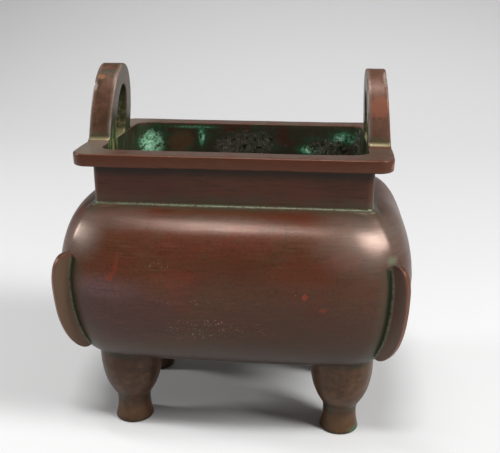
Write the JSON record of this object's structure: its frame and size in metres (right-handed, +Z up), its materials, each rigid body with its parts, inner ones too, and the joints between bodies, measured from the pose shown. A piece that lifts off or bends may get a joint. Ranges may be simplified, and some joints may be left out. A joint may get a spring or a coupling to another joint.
{
  "type": "incense burner",
  "caption": "Rectangular bronze incense burner with a cushion-shaped belly, straight neck, flat rim, upright loop ears, corner fins and short turned legs; open and empty.",
  "frame": {"origin": "on the table, under the middle of the vessel", "axes": "+Z up, +X along the long side towards the right ear, +Y through the depth towards the back"},
  "size_m": [0.1652, 0.1292, 0.1739],
  "materials": {
    "bronze": "dark reddish-brown patinated bronze, satin, with green verdigris inside and in the corners"
  },
  "bodies": {
    "root": {"incense_burner": "bronze"}
  },
  "joints": []
}
